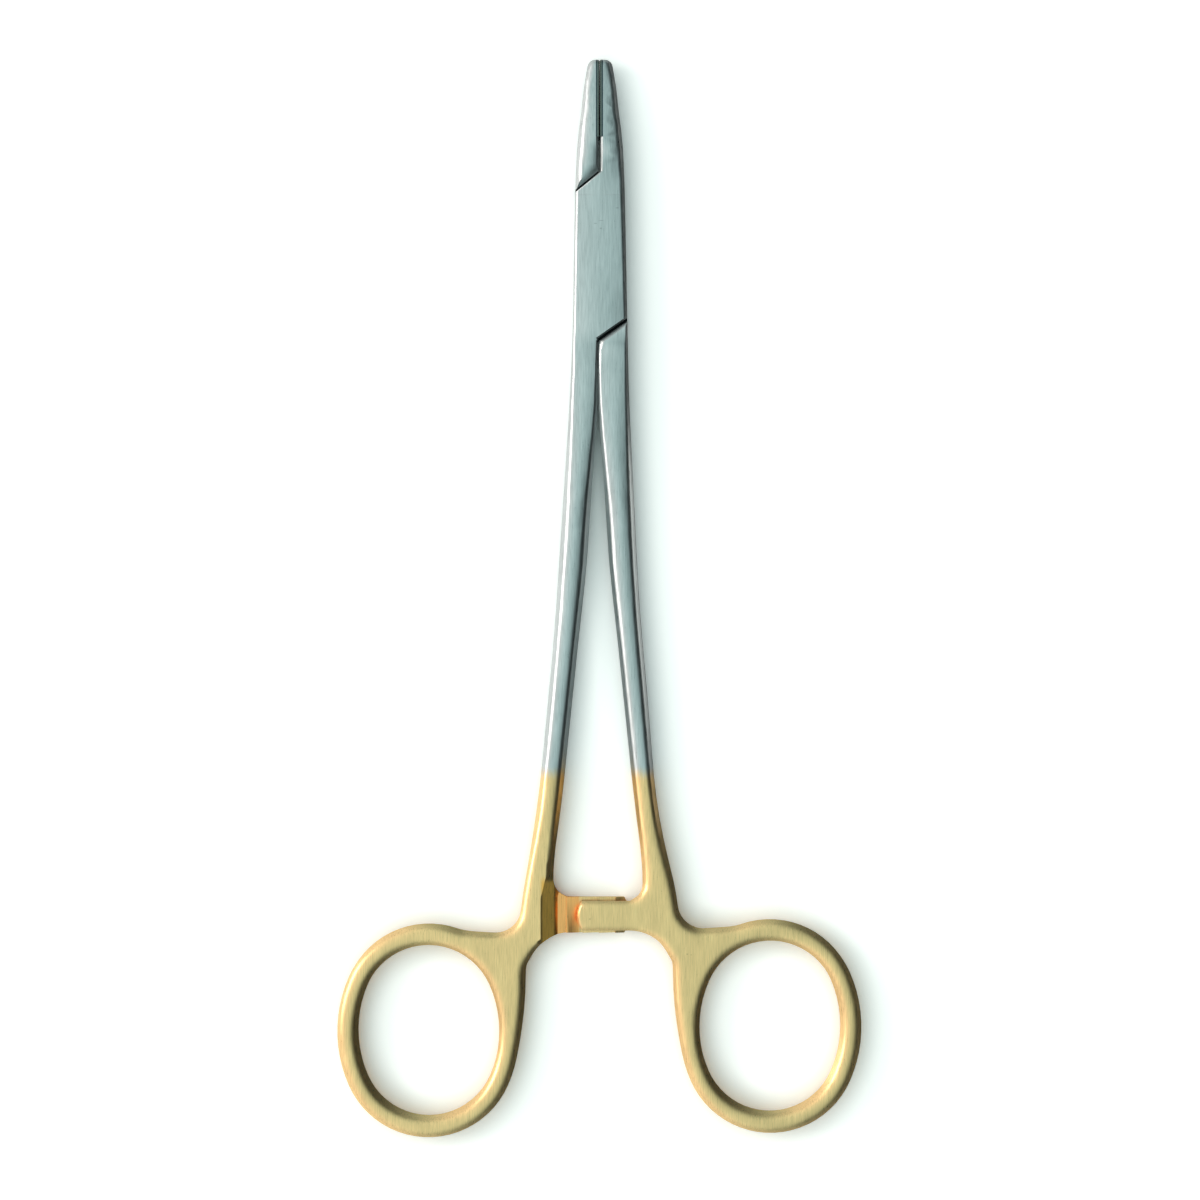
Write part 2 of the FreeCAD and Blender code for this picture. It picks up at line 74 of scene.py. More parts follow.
def linear(hex_colour):
    """A colour written as sRGB hex, in the linear values that shaders take."""
    parts = [int(hex_colour[i:i + 2], 16) / 255 for i in (0, 2, 4)]
    return [c / 12.92 if c <= 0.04045 else ((c + 0.055) / 1.055) ** 2.4 for c in parts] + [1.0]


def add(tree, kind, links=None, **settings):
    """Add one node; links names sockets and what feeds them, settings are the node's own."""
    node = tree.nodes.new(kind)
    for name, value in settings.items():
        setattr(node, name, value)
    for socket, value in (links or {}).items():
        if isinstance(value, bpy.types.NodeSocket):
            tree.links.new(value, node.inputs[socket])
        else:
            node.inputs[socket].default_value = value
    return node


def new_material(name):
    material = bpy.data.materials.new(name)
    material.use_nodes = True
    tree = material.node_tree
    return material, tree, tree.nodes["Principled BSDF"]


def set_points(curve, points):
    """Give a curve node its points."""
    line = curve.mapping.curves[0]
    while len(line.points) < len(points):
        line.points.new(0.5, 0.5)
    for point, place in zip(line.points, points):
        point.location = place
    curve.mapping.update()


def between(tree, value, low, low_full, high_full, high):
    """1 within a range in mm, 0 outside it, with soft ends."""
    rise, fall = (
        add(tree, "ShaderNodeMapRange", {"Value": value, "From Min": none * MM, "From Max": full * MM},
            interpolation_type="SMOOTHSTEP").outputs[0]
        for none, full in ((low, low_full), (high, high_full)))
    return add(tree, "ShaderNodeMath", {0: rise, 1: fall}, operation="MULTIPLY").outputs[0]


def hand_rounded(tree, split):
    """The normal of the handles, whose edges polishing rounded over 1.4 mm; crisp at the ratchet."""
    bevel = add(tree, "ShaderNodeBevel", {"Radius": 1.4 * MM}, samples=8).outputs[0]
    plain = add(tree, "ShaderNodeNewGeometry").outputs["Normal"]
    height = add(tree, "ShaderNodeMath", {
        0: split.outputs["Z"], 1: -MIDDLE_HEIGHT * MM}, operation="ADD").outputs[0]
    height = add(tree, "ShaderNodeMath", {0: height}, operation="ABSOLUTE").outputs[0]
    # Each share goes from 0 to 1 between two places in mm: down the handles, to the
    # left and the right of the teeth, and above and below them
    handle, left, right, outside = (
        add(tree, "ShaderNodeMapRange", {"Value": value, "From Min": none * MM, "From Max": full * MM},
            interpolation_type="SMOOTHSTEP").outputs[0]
        for value, none, full in (
            (split.outputs["Y"], -80, -90), (split.outputs["X"], -9, -11), (split.outputs["X"], -2.7, -2.2),
            (height, 0.8, 1.2)))
    aside = add(tree, "ShaderNodeMath", {0: left, 1: right}, operation="ADD").outputs[0]
    share = add(tree, "ShaderNodeMath", {0: handle, 1: aside}, operation="MULTIPLY").outputs[0]
    share = add(tree, "ShaderNodeMath", {0: share, 1: outside}, operation="MULTIPLY").outputs[0]
    return add(tree, "ShaderNodeMix", {0: share, 4: plain, 5: bevel}, data_type="VECTOR").outputs[1]


def soft_sided(tree, normal):
    """A normal whose steep sides lean up, as the belt rolls the polish over every edge."""
    parts = add(tree, "ShaderNodeSeparateXYZ", {"Vector": normal})
    # The slope is held at 42 degrees on the left and 34 on the right: 1.1 or 1.5 up for every 1 across
    most = add(tree, "ShaderNodeMapRange", {
        "Value": parts.outputs["X"], "From Min": -0.7, "From Max": 0.7, "To Min": 1.1, "To Max": 1.5}).outputs[0]
    # Undersides keep their own slope
    upright = add(tree, "ShaderNodeMapRange", {
        "Value": parts.outputs["Z"], "From Min": -0.6, "From Max": 0.0},
        interpolation_type="SMOOTHSTEP").outputs[0]
    least = add(tree, "ShaderNodeMapRange", {"Value": upright, "To Min": -1.0, "To Max": most}).outputs[0]
    flat = add(tree, "ShaderNodeVectorMath", {0: normal, 1: (1, 1, 0)}, operation="MULTIPLY").outputs[0]
    across = add(tree, "ShaderNodeVectorMath", {0: flat}, operation="LENGTH").outputs["Value"]
    least = add(tree, "ShaderNodeMath", {0: least, 1: across}, operation="MULTIPLY").outputs[0]
    up = add(tree, "ShaderNodeMath", {0: parts.outputs["Z"], 1: least}, operation="MAXIMUM").outputs[0]
    leaning = add(tree, "ShaderNodeCombineXYZ", {"X": parts.outputs["X"], "Y": parts.outputs["Y"], "Z": up})
    return add(tree, "ShaderNodeVectorMath", {0: leaning.outputs[0]}, operation="NORMALIZE").outputs[0]


def crown(tree, split, normal):
    """The normal of faces that hand grinding left slightly crowned across the tool.

    The height falls with the square of the distance from the middle line of the
    jaw, box or shank. The shanks are nearly round, and the box is nearly flat.
    """
    low, high = -100.0, 30.0
    along = add(tree, "ShaderNodeMapRange", {
        "Value": split.outputs["Y"], "From Min": low * MM, "From Max": high * MM}).outputs[0]
    # Middle line of the part that a face belongs to, mm from the centre line of the tool
    middle = ((-100, 9.3), (-86.6, 7.96), (-66.2, 5.64), (-55.1, 4.57), (-36.3, 3.17), (-21, 2.2), (-14, 2.1),
              (-10, 0), (9, 0), (14, -1), (30, -1))
    leftmost, rightmost = -1, 10
    # Curvature across the tool, one over a radius in metres: rings, shanks, box, jaws
    bend = ((-100, 0), (-92, 0), (-80, 170), (-46, 190), (-16, 40), (9, 22), (15, 34), (30, 34))
    full_bend = 200
    middle_curve = add(tree, "ShaderNodeFloatCurve", {"Value": along})
    set_points(middle_curve, [
        ((y - low) / (high - low), (x - leftmost) / (rightmost - leftmost)) for y, x in middle])
    bend_curve = add(tree, "ShaderNodeFloatCurve", {"Value": along})
    set_points(bend_curve, [((y - low) / (high - low), k / full_bend) for y, k in bend])
    centre = add(tree, "ShaderNodeMapRange", {
        "Value": middle_curve.outputs[0], "To Min": leftmost * MM, "To Max": rightmost * MM}).outputs[0]
    # Both shanks are ground highest a little to the left of their middle
    side = add(tree, "ShaderNodeMath", {0: split.outputs["X"], 1: 0.35 * MM}, operation="ADD").outputs[0]
    side = add(tree, "ShaderNodeMath", {0: side}, operation="ABSOLUTE").outputs[0]
    jaws = add(tree, "ShaderNodeMath", {0: split.outputs["Y"], 1: 9 * MM}, operation="GREATER_THAN").outputs[0]
    across = add(tree, "ShaderNodeMix", {0: jaws, 2: side, 3: split.outputs["X"]}).outputs[0]
    off = add(tree, "ShaderNodeMath", {0: across, 1: centre}, operation="SUBTRACT").outputs[0]
    square = add(tree, "ShaderNodeMath", {0: off, 1: off}, operation="MULTIPLY").outputs[0]
    half_bend = add(tree, "ShaderNodeMath", {
        0: bend_curve.outputs[0], 1: -full_bend / 2}, operation="MULTIPLY").outputs[0]
    height = add(tree, "ShaderNodeMath", {0: square, 1: half_bend}, operation="MULTIPLY").outputs[0]
    return add(tree, "ShaderNodeBump", {
        "Strength": 1.0, "Distance": 1.0, "Height": height, "Normal": normal}).outputs[0]


def brushing(tree, place, spacing, length):
    """Fine scratches along the tool, given how far apart and how long they are in mm."""
    scale = (1000 / spacing, 1000 / length, 1000 / spacing)
    along = add(tree, "ShaderNodeMapping", {"Vector": place, "Scale": scale})
    return add(tree, "ShaderNodeTexNoise", {
        "Vector": along.outputs[0], "Scale": 1.0, "Detail": 3.0, "Roughness": 0.65}).outputs["Fac"]


def marks(tree, place, spots):
    """How much a surface is marked, 0 to 1, by small oval scuffs: middle and size of each in mm."""
    total = None
    for x, y, width, height in spots:
        offset = add(tree, "ShaderNodeMapping", {
            "Vector": place,
            "Location": (-x / width, -y / height, 0),
            "Scale": (1000 / width, 1000 / height, 0)})
        away = add(tree, "ShaderNodeVectorMath", {0: offset.outputs[0]}, operation="LENGTH").outputs["Value"]
        spot = add(tree, "ShaderNodeMapRange", {"Value": away, "From Min": 0.5, "From Max": 0.2}).outputs[0]
        total = spot if total is None else add(
            tree, "ShaderNodeMath", {0: total, 1: spot}, operation="MAXIMUM").outputs[0]
    return total


def joint_line(tree, split, start, end, low, high):
    """1 along a slanted line, from low to high mm above it, 0 elsewhere."""
    rise = (end[1] - start[1]) / (end[0] - start[0])
    steep = math.hypot(1, rise)
    level = add(tree, "ShaderNodeMath", {0: split.outputs["X"], 1: -rise}, operation="MULTIPLY").outputs[0]
    level = add(tree, "ShaderNodeMath", {0: level, 1: split.outputs["Y"]}, operation="ADD").outputs[0]
    level = add(tree, "ShaderNodeMath", {
        0: level, 1: (start[0] * rise - start[1]) * MM}, operation="ADD").outputs[0]
    soft = 0.06 * steep
    line = between(tree, level, low * steep - soft, low * steep + soft, high * steep - soft, high * steep + soft)
    left, right = sorted((start[0], end[0]))
    along = between(tree, split.outputs["X"], left - 0.1, left + 0.1, right - 0.1, right + 0.1)
    return add(tree, "ShaderNodeMath", {0: line, 1: along}, operation="MULTIPLY").outputs[0]


def milled_ratchet(tree, split):
    """How much a place belongs to the milled ratchet, and how far it is from slope to teeth, both 0 to 1."""
    across = between(tree, split.outputs["X"], -9.0, -8.4, -3.3, -2.9)
    along = between(tree, split.outputs["Y"], -108.0, -107.0, -93.0, -91.5)
    milled = add(tree, "ShaderNodeMath", {0: across, 1: along}, operation="MULTIPLY").outputs[0]
    toothed = add(tree, "ShaderNodeMapRange", {
        "Value": split.outputs["X"], "From Min": -6.9 * MM, "From Max": -6.2 * MM}).outputs[0]
    return milled, toothed


def plated_colour(tree, split, streaks, steel, milled, toothed):
    """Steel, gold plating on the handles, a painted deeper orange reflection in the milled ratchet, and painted
    shade in both joint lines.
    """
    # The plating starts 75 mm from the pivot, with a soft edge that is ragged by the brushing
    ragged = add(tree, "ShaderNodeMath", {0: streaks, 1: 1.5 * MM}, operation="MULTIPLY").outputs[0]
    edge = add(tree, "ShaderNodeMath", {0: split.outputs["Y"], 1: ragged}, operation="ADD").outputs[0]
    gilt = add(tree, "ShaderNodeMapRange", {
        "Value": edge, "From Min": -74.6 * MM, "From Max": -77.0 * MM},
        interpolation_type="SMOOTHSTEP").outputs[0]
    colour = add(tree, "ShaderNodeMix", {
        "Factor": gilt, 6: linear(steel), 7: linear("F9CE93")}, data_type="RGBA").outputs[2]
    # Painted reflection: the milled slope and the teeth get a deeper orange, standing in for the gold that they
    # reflect from each other
    milled_painted_reflection = add(tree, "ShaderNodeMix", {
        "Factor": toothed, 6: linear("F4B25A"), 7: linear("FFB46E")}, data_type="RGBA").outputs[2]
    colour = add(tree, "ShaderNodeMix", {
        "Factor": milled, 6: colour, 7: milled_painted_reflection}, data_type="RGBA").outputs[2]
    # Painted shade: a dark line along both joint lines of the box lock, where the gap between the halves lies in
    # shade
    joint_painted_shade = add(tree, "ShaderNodeMath", {
        0: joint_line(tree, split, *LOWER_JOINT), 1: joint_line(tree, split, *UPPER_JOINT)},
        operation="MAXIMUM").outputs[0]
    return add(tree, "ShaderNodeMix", {
        "Factor": joint_painted_shade, 6: colour, 7: linear("22292B")}, data_type="RGBA").outputs[2]


def satin_steel_part_gilt(name, steel):
    """Stainless steel satin-brushed lengthwise, gold plated from the ratchet end upwards.

    The brushing gives long fine streaks and a broad soft sheen. The plating copies
    the same brushing and only changes the colour, with a short soft edge.
    """
    material, tree, shader = new_material(name)
    place = add(tree, "ShaderNodeTexCoord").outputs["Object"]
    split = add(tree, "ShaderNodeSeparateXYZ", {"Vector": place})
    # Belt marks are some 0.05 mm apart, drawn 0.16 mm apart and 3 mm long so that they show
    streaks = brushing(tree, place, 0.16, 3)
    # Slow changes of sheen, some 10 mm long and 2 mm wide, from hand finishing
    slow = add(tree, "ShaderNodeMapping", {"Vector": place, "Scale": (500, 100, 500)})
    clouds = add(tree, "ShaderNodeTexNoise", {
        "Vector": slow.outputs[0], "Scale": 1.0, "Detail": 2.0}).outputs["Fac"]
    milled, toothed = milled_ratchet(tree, split)
    colour = plated_colour(tree, split, streaks, steel, milled, toothed)
    shade = add(tree, "ShaderNodeMapRange", {
        "Value": streaks, "From Min": NOISE_LOW, "From Max": NOISE_HIGH, "To Min": 0.8, "To Max": 1.11}).outputs[0]
    tone = add(tree, "ShaderNodeMapRange", {
        "Value": clouds, "From Min": NOISE_LOW, "From Max": NOISE_HIGH, "To Min": 0.93, "To Max": 1.04}).outputs[0]
    # Four faint scuffs on the box and specks beside the ratchet, from handling
    scuffed = marks(tree, place, (
        (0.19, 5.18, 0.9, 0.16), (-0.67, 4.75, 0.7, 0.2), (0.12, 4.01, 0.45, 0.3), (2.54, 7.04, 0.7, 0.2),
        (12.9, -103.3, 0.35, 0.3), (13.5, -103.4, 0.3, 0.2), (-1.5, -98.1, 0.4, 0.3)))
    worn = add(tree, "ShaderNodeMapRange", {"Value": scuffed, "To Min": 1.0, "To Max": 0.72}).outputs[0]
    shade = add(tree, "ShaderNodeMath", {0: shade, 1: tone}, operation="MULTIPLY").outputs[0]
    shade = add(tree, "ShaderNodeMath", {0: shade, 1: worn}, operation="MULTIPLY").outputs[0]
    tint = add(tree, "ShaderNodeMix", {
        "Factor": 1.0, 6: colour, 7: shade}, data_type="RGBA", blend_type="MULTIPLY").outputs[2]
    rough = add(tree, "ShaderNodeMapRange", {
        "Value": streaks, "From Min": NOISE_LOW, "From Max": NOISE_HIGH, "To Min": 0.27, "To Max": 0.36}).outputs[0]
    normal = crown(tree, split, soft_sided(tree, hand_rounded(tree, split)))
    # The milled slope is left matt, so it takes the light from above as well
    dull = add(tree, "ShaderNodeMath", {0: 0.6, 1: toothed}, operation="SUBTRACT").outputs[0]
    dull = add(tree, "ShaderNodeMath", {0: dull, 1: milled}, operation="MULTIPLY").outputs[0]
    dull = add(tree, "ShaderNodeMath", {0: dull, 1: 0.0}, operation="MAXIMUM").outputs[0]
    normal = add(tree, "ShaderNodeMix", {0: dull, 4: normal, 5: (0, 0, 1)}, data_type="VECTOR").outputs[1]
    bump = add(tree, "ShaderNodeBump", {
        "Strength": 0.08, "Distance": 0.02 * MM, "Height": streaks, "Normal": normal}).outputs[0]
    tree.links.new(tint, shader.inputs["Base Color"])
    tree.links.new(rough, shader.inputs["Roughness"])
    tree.links.new(bump, shader.inputs["Normal"])
    shader.inputs["Metallic"].default_value = 1.0
    return material


def brazed_carbide():
    """Tungsten carbide, ground: dark grey and grainy, with the darker braze line against the jaw."""
    material, tree, shader = new_material("ground_tungsten_carbide")
    place = add(tree, "ShaderNodeTexCoord").outputs["Object"]
    split = add(tree, "ShaderNodeSeparateXYZ", {"Vector": place})
    # Pressed grain, really a few thousandths of a millimetre, drawn at 0.2 mm so that it shows
    grain = add(tree, "ShaderNodeTexNoise", {"Vector": place, "Scale": 5000.0, "Detail": 3.0}).outputs["Fac"]
    shade = add(tree, "ShaderNodeMapRange", {
        "Value": grain, "From Min": NOISE_LOW, "From Max": NOISE_HIGH, "To Min": 0.8, "To Max": 1.1}).outputs[0]
    middle = add(tree, "ShaderNodeMath", {0: split.outputs["X"], 1: 0.08 * MM}, operation="ADD").outputs[0]
    away = add(tree, "ShaderNodeMath", {0: middle}, operation="ABSOLUTE").outputs[0]
    braze = add(tree, "ShaderNodeMapRange", {
        "Value": away, "From Min": 0.30 * MM, "From Max": 0.38 * MM},
        interpolation_type="SMOOTHSTEP").outputs[0]
    colour = add(tree, "ShaderNodeMix", {
        "Factor": braze, 6: linear("6E7672"), 7: linear("39454C")}, data_type="RGBA").outputs[2]
    tint = add(tree, "ShaderNodeMix", {
        "Factor": 1.0, 6: colour, 7: shade}, data_type="RGBA", blend_type="MULTIPLY").outputs[2]
    bump = add(tree, "ShaderNodeBump", {
        "Strength": 0.3, "Distance": 0.01 * MM, "Height": grain}).outputs[0]
    tree.links.new(tint, shader.inputs["Base Color"])
    tree.links.new(bump, shader.inputs["Normal"])
    shader.inputs["Metallic"].default_value = 1.0
    shader.inputs["Roughness"].default_value = 0.42
    return material


def cut_carbide():
    """The cross-cut biting face: the same carbide grain on a darker grey."""
    material, tree, shader = new_material("cross_cut_tungsten_carbide")
    place = add(tree, "ShaderNodeTexCoord").outputs["Object"]
    # The same grain, drawn at 0.17 mm because the teeth are small
    grain = add(tree, "ShaderNodeTexNoise", {"Vector": place, "Scale": 6000.0, "Detail": 2.0}).outputs["Fac"]
    shade = add(tree, "ShaderNodeMapRange", {
        "Value": grain, "From Min": NOISE_LOW, "From Max": NOISE_HIGH, "To Min": 0.8, "To Max": 1.1}).outputs[0]
    tint = add(tree, "ShaderNodeMix", {
        "Factor": 1.0, 6: linear("565C56"), 7: shade}, data_type="RGBA", blend_type="MULTIPLY").outputs[2]
    tree.links.new(tint, shader.inputs["Base Color"])
    shader.inputs["Metallic"].default_value = 1.0
    shader.inputs["Roughness"].default_value = 0.5
    return material


def white_table_paint():
    """A smooth matt white studio table that glows a little all over, as a light table would, with painted shade
    where the glow fades close under what lies on it.
    """
    material, tree, shader = new_material("matt_white_light_table")
    shader.inputs["Base Color"].default_value = linear("F9F9F8")
    shader.inputs["Roughness"].default_value = 0.9
    shader.inputs["Specular IOR Level"].default_value = 0.1
    shader.inputs["Emission Color"].default_value = linear("FFFEFA")
    # Painted contact shade: the glow is weaker in the narrow places between the table and what lies on it
    open_air = add(tree, "ShaderNodeAmbientOcclusion", {"Distance": 4 * MM}, samples=8).outputs["AO"]
    glow_with_painted_shade = add(tree, "ShaderNodeMapRange", {
        "Value": open_air, "From Min": 0.3, "From Max": 1.0, "To Max": 0.5}).outputs[0]
    tree.links.new(glow_with_painted_shade, shader.inputs["Emission Strength"])
    return material


# Pieces


def link(piece):
    bpy.context.scene.collection.objects.link(piece)
    return piece


def merged(node):
    """A CAD node's triangles as one connected form, its flat faces in one piece each."""
    form = bmesh.new()
    form.from_mesh(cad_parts[node].data)
    bmesh.ops.remove_doubles(form, verts=form.verts, dist=0.0005 * MM)
    bmesh.ops.dissolve_limit(
        form, angle_limit=math.radians(0.2), verts=form.verts, edges=form.edges, delimit={"NORMAL"})
    return form


def fuller_jaw(form):
    """Fill out the side of a jaw towards its tip, to the even taper of the real one."""
    for y in range(math.ceil(FULLER_START), math.ceil(FULLER_END)):
        geometry = list(form.verts) + list(form.edges) + list(form.faces)
        bmesh.ops.bisect_plane(form, geom=geometry, plane_co=(0, y * MM, 0), plane_no=(0, 1, 0))
    for corner in form.verts:
        share = (corner.co.y / MM - FULLER_START) / (FULLER_END - FULLER_START)
        if 0 < share < 1 and abs(corner.co.x) > JAW_SIDE_X * MM:
            swell = FULLER_MOST * MM * math.sin(math.pi * share ** 1.3)
            corner.co.x += math.copysign(swell, corner.co.x)
    return form


def dressed(form, node, body, materials):
    """A piece in a CAD node's place, with smooth rounds and crisp corners."""
    mesh = bpy.data.meshes.new(node + "_finished")
    form.to_mesh(mesh)
    form.free()
    for material in materials:
        mesh.materials.append(material)
    mesh.shade_smooth()
    mesh.set_sharp_from_angle(angle=math.radians(CRISP_ANGLE))
    piece = link(bpy.data.objects.new(node + "_finished", mesh))
    normals = piece.modifiers.new("even_normals", "WEIGHTED_NORMAL")
    normals.keep_sharp = True
    normals.weight = 50
    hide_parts(node)
    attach(piece, body)


def cross_cut_tree(material):
    """Geometry nodes: rows of small pyramids over a biting face that narrows towards its tip."""
    tree = bpy.data.node_groups.new("cross_cut_teeth", "GeometryNodeTree")
    tree.interface.new_socket("Geometry", in_out="OUTPUT", socket_type="NodeSocketGeometry")
    lengths = (
        "Face X", "Face start", "Face length", "Middle height", "Taper start", "Taper end",
        "Root half height", "Tip half height", "Depth", "Lean")
    for name in lengths:
        tree.interface.new_socket(name, in_out="INPUT", socket_type="NodeSocketFloat")
    for name in ("Columns", "Rows"):
        tree.interface.new_socket(name, in_out="INPUT", socket_type="NodeSocketInt")
    size = add(tree, "NodeGroupInput").outputs

    # A grid of places: X along the face, Y from -1 to 1 for its lower and upper edge
    pitch = add(tree, "ShaderNodeMath", {
        0: size["Face length"], 1: size["Columns"]}, operation="DIVIDE").outputs[0]
    step = add(tree, "ShaderNodeMath", {0: 2.0, 1: size["Rows"]}, operation="DIVIDE").outputs[0]
    grid_length = add(tree, "ShaderNodeMath", {
        0: size["Face length"], 1: pitch}, operation="SUBTRACT").outputs[0]
    grid_height = add(tree, "ShaderNodeMath", {0: 2.0, 1: step}, operation="SUBTRACT").outputs[0]
    grid = add(tree, "GeometryNodeMeshGrid", {
        "Size X": grid_length, "Size Y": grid_height,
        "Vertices X": size["Columns"], "Vertices Y": size["Rows"]}).outputs["Mesh"]
    place = add(tree, "ShaderNodeSeparateXYZ", {0: add(tree, "GeometryNodeInputPosition").outputs[0]}).outputs
    half_face = add(tree, "ShaderNodeMath", {0: size["Face length"], 1: 0.5}, operation="MULTIPLY").outputs[0]
    face_middle = add(tree, "ShaderNodeMath", {
        0: size["Face start"], 1: half_face}, operation="ADD").outputs[0]
    y = add(tree, "ShaderNodeMath", {0: face_middle, 1: place["X"]}, operation="ADD").outputs[0]

    # The side view of the jaw: half its height falls by s * s * (1.75 - 0.75 * s) from root to tip
    run = add(tree, "ShaderNodeMath", {
        0: size["Taper end"], 1: size["Taper start"]}, operation="SUBTRACT").outputs[0]
    gone = add(tree, "ShaderNodeMath", {0: y, 1: size["Taper start"]}, operation="SUBTRACT").outputs[0]
    s = add(tree, "ShaderNodeMath", {0: gone, 1: run}, operation="DIVIDE").outputs[0]
    ease = add(tree, "ShaderNodeMath", {0: s, 1: 0.75}, operation="MULTIPLY").outputs[0]
    ease = add(tree, "ShaderNodeMath", {0: 1.75, 1: ease}, operation="SUBTRACT").outputs[0]
    square = add(tree, "ShaderNodeMath", {0: s, 1: s}, operation="MULTIPLY").outputs[0]
    ease = add(tree, "ShaderNodeMath", {0: square, 1: ease}, operation="MULTIPLY").outputs[0]
    fall = add(tree, "ShaderNodeMath", {
        0: size["Root half height"], 1: size["Tip half height"]}, operation="SUBTRACT").outputs[0]
    fallen = add(tree, "ShaderNodeMath", {0: fall, 1: ease}, operation="MULTIPLY").outputs[0]
    half = add(tree, "ShaderNodeMath", {
        0: size["Root half height"], 1: fallen}, operation="SUBTRACT").outputs[0]
    above = add(tree, "ShaderNodeMath", {0: place["Y"], 1: half}, operation="MULTIPLY").outputs[0]
    z = add(tree, "ShaderNodeMath", {0: size["Middle height"], 1: above}, operation="ADD").outputs[0]
    spot = add(tree, "ShaderNodeCombineXYZ", {"X": size["Face X"], "Y": y, "Z": z}).outputs[0]
    row_height = add(tree, "ShaderNodeMath", {0: half, 1: step}, operation="MULTIPLY").outputs[0]
    field = add(tree, "GeometryNodeStoreNamedAttribute", {
        "Geometry": grid, "Name": "row_height", "Value": row_height},
        data_type="FLOAT", domain="POINT").outputs[0]
    field = add(tree, "GeometryNodeSetPosition", {"Geometry": field, "Position": spot}).outputs[0]

    # A pyramid 1 by 1 by 1, standing on its base, then leaning towards the other jaw
    pyramid = add(tree, "GeometryNodeMeshCone", {
        "Vertices": 4, "Radius Top": 0.0, "Radius Bottom": math.sqrt(0.5), "Depth": 1.0}).outputs["Mesh"]
    pyramid = add(tree, "GeometryNodeTransform", {
        "Geometry": pyramid, "Rotation": (0, 0, math.radians(45))}).outputs[0]
    lean = add(tree, "ShaderNodeCombineXYZ", {"Y": size["Lean"]}).outputs[0]
    pyramid = add(tree, "GeometryNodeTransform", {"Geometry": pyramid, "Rotation": lean}).outputs[0]
    kept = add(tree, "GeometryNodeInputNamedAttribute", {"Name": "row_height"}, data_type="FLOAT").outputs[0]
    scale = add(tree, "ShaderNodeCombineXYZ", {"X": size["Depth"], "Y": pitch, "Z": kept}).outputs[0]
    teeth = add(tree, "GeometryNodeInstanceOnPoints", {
        "Points": field, "Instance": pyramid, "Scale": scale}).outputs[0]
    teeth = add(tree, "GeometryNodeRealizeInstances", {"Geometry": teeth}).outputs[0]
    teeth = add(tree, "GeometryNodeSetMaterial", {"Geometry": teeth, "Material": material}).outputs[0]
    add(tree, "NodeGroupOutput", {"Geometry": teeth})
    return tree


def teeth_mesh(tree, values):
    """The plain mesh that a tree makes with its inputs set to the given sizes."""
    maker = link(bpy.data.objects.new("maker", bpy.data.meshes.new("maker")))
    modifier = maker.modifiers.new("teeth", "NODES")
    modifier.node_group = tree
    for socket in tree.interface.items_tree:
        if socket.in_out == "INPUT":
            modifier[socket.identifier] = values[socket.name]
    evaluated = maker.evaluated_get(bpy.context.evaluated_depsgraph_get())
    mesh = bpy.data.meshes.new_from_object(evaluated)
    bpy.data.objects.remove(maker)
    return mesh


def cut_off(form, point, way):
    """Take away what lies beyond a plane and close the cut."""
    geometry = list(form.verts) + list(form.edges) + list(form.faces)
    cut = bmesh.ops.bisect_plane(form, geom=geometry, plane_co=point, plane_no=way, clear_outer=True)
    rim = [item for item in cut["geom_cut"] if isinstance(item, bmesh.types.BMEdge)]
    bmesh.ops.contextual_create(form, geom=rim)
    bmesh.ops.recalc_face_normals(form, faces=form.faces)


def carbide_insert(tree, node, body, face_x, way, materials):
    """A jaw insert whose biting face is cut into small pyramids that almost meet the other jaw's."""
    floor_x = face_x - way * TOOTH_DEPTH
    root_x = floor_x - way * TOOTH_ROOT
    form = merged(node)
    cut_off(form, (floor_x * MM, 0, 0), (way, 0, 0))
    # A plain land along the lower edge, which the two jaws close on
    land = merged(node)
    cut_off(land, (root_x * MM, 0, 0), (-way, 0, 0))
    cut_off(land, (0, INSERT_START * MM, LAND_HEIGHT * MM), (0, -LAND_SLOPE, 1))
    joined = bpy.data.meshes.new("land")
    land.to_mesh(joined)
    land.free()
    form.from_mesh(joined)
    teeth = teeth_mesh(tree, {
        "Face X": root_x * MM, "Face start": 17.65 * MM, "Face length": 11.5 * MM,
        "Middle height": MIDDLE_HEIGHT * MM, "Taper start": 13.6 * MM, "Taper end": 29.3 * MM,
        "Root half height": 2.6 * MM, "Tip half height": 1.25 * MM,
        "Depth": (TOOTH_ROOT + TOOTH_DEPTH + TOOTH_PAST_FACE) * MM, "Lean": way * math.pi / 2,
        "Columns": 36, "Rows": 11})
    for face in teeth.polygons:
        face.material_index = 1
    form.from_mesh(teeth)
    dressed(form, node, body, materials)


steel = satin_steel_part_gilt("satin_brushed_stainless_part_gilt", "C5C6C6")
dressed(fuller_jaw(merged("box_half")), "box_half", "box_side", [steel])
dressed(fuller_jaw(merged("tongue_half")), "tongue_half", "tongue_side", [steel])
# The rivet is ground flush in one pass with the box, and a trace brighter
rivet = satin_steel_part_gilt("satin_brushed_stainless_rivet", "C7C8C8")
dressed(merged("pivot_pin"), "pivot_pin", "box_side", [rivet])
carbide = [brazed_carbide(), cut_carbide()]
teeth_tree = cross_cut_tree(carbide[1])
carbide_insert(teeth_tree, "box_jaw_insert", "box_side", BOX_BITE_X, -1, carbide)
carbide_insert(teeth_tree, "tongue_jaw_insert", "tongue_side", TONGUE_BITE_X, 1, carbide)


# Studio: table, soft box, room light and camera


def table():
    mesh = bpy.data.meshes.new("table")
    size = 1.5
    mesh.from_pydata([(-size, -size, 0), (size, -size, 0), (size, size, 0), (-size, size, 0)], [], [(0, 1, 2, 3)])
    mesh.materials.append(white_table_paint())
    link(bpy.data.objects.new("table", mesh))


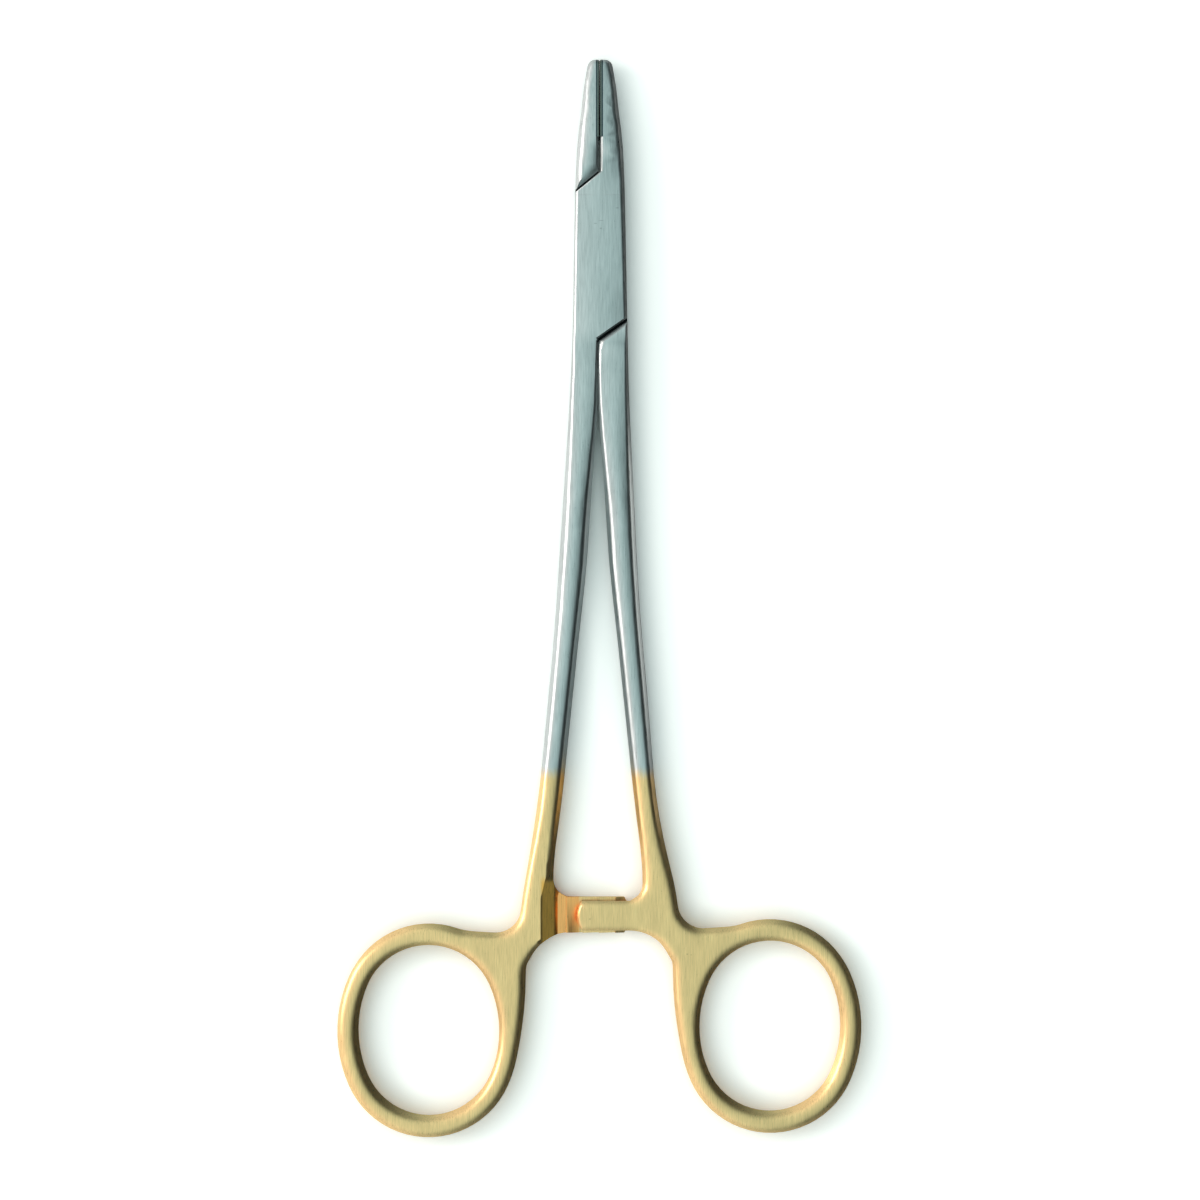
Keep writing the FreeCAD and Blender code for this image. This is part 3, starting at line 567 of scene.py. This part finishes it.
def left_soft_box():
    """A soft square light high on the left, turned towards the tool."""
    place, aim = Vector((-1.25, 0.2, 0.8)), Vector((0, -0.05, 0))
    light = bpy.data.lights.new("left_soft_box", "AREA")
    light.shape = "RECTANGLE"
    light.size = light.size_y = 0.65
    light.energy = 7
    light.color = linear("FFFDF8")[:3]
    lamp = link(bpy.data.objects.new("left_soft_box", light))
    lamp.location = place
    lamp.rotation_euler = (aim - place).to_track_quat("-Z", "Y").to_euler()


def room():
    """A cool pale ceiling, brighter to the left and dark to the right."""
    world = bpy.data.worlds.new("studio")
    bpy.context.scene.world = world
    world.use_nodes = True
    tree = world.node_tree
    way = add(tree, "ShaderNodeTexCoord").outputs["Generated"]
    side = add(tree, "ShaderNodeSeparateXYZ", {"Vector": way}).outputs["X"]
    share = add(tree, "ShaderNodeMapRange", {"Value": side, "From Min": -1.0, "From Max": 1.0}).outputs[0]
    ramp = add(tree, "ShaderNodeValToRGB", {"Fac": share})
    # Light from each side of the room, from left to right
    stops = (
        (0.00, (0.80, 0.82, 0.80)), (0.30, (0.92, 1.00, 0.98)), (0.42, (0.76, 0.97, 0.95)),
        (0.50, (0.69, 0.97, 0.95)), (0.58, (0.50, 0.73, 0.72)), (0.68, (0.28, 0.40, 0.40)),
        (0.82, (0.09, 0.13, 0.13)), (1.00, (0.06, 0.08, 0.08)),
    )
    places = ramp.color_ramp.elements
    while len(places) < len(stops):
        places.new(0.5)
    for stop, (position, colour) in zip(places, stops):
        stop.position = position
        stop.color = (*colour, 1)
    # Towards the horizon the room gets darker, least on the left
    height = add(tree, "ShaderNodeSeparateXYZ", {"Vector": way}).outputs["Z"]
    open_sky = add(tree, "ShaderNodeMath", {0: height, 1: side}, operation="SUBTRACT").outputs[0]
    strength = add(tree, "ShaderNodeMapRange", {
        "Value": open_sky, "From Min": 0.1, "From Max": 0.9, "To Min": 0.4, "To Max": 1.1}).outputs[0]
    tree.links.new(ramp.outputs[0], tree.nodes["Background"].inputs["Color"])
    tree.links.new(strength, tree.nodes["Background"].inputs["Strength"])


def camera():
    """Straight above, where the photograph was taken from, 160 mm of tool in a 178 mm field."""
    lens = bpy.data.cameras.new("camera")
    lens.lens = 100
    lens.sensor_width = 36
    lens.clip_start = 0.01
    seat = link(bpy.data.objects.new("camera", lens))
    seat.location = (0, -50.9 * MM, 497.9 * MM)
    bpy.context.scene.camera = seat


table()
room()
camera()
left_soft_box()
bpy.context.scene.view_settings.view_transform = "Standard"
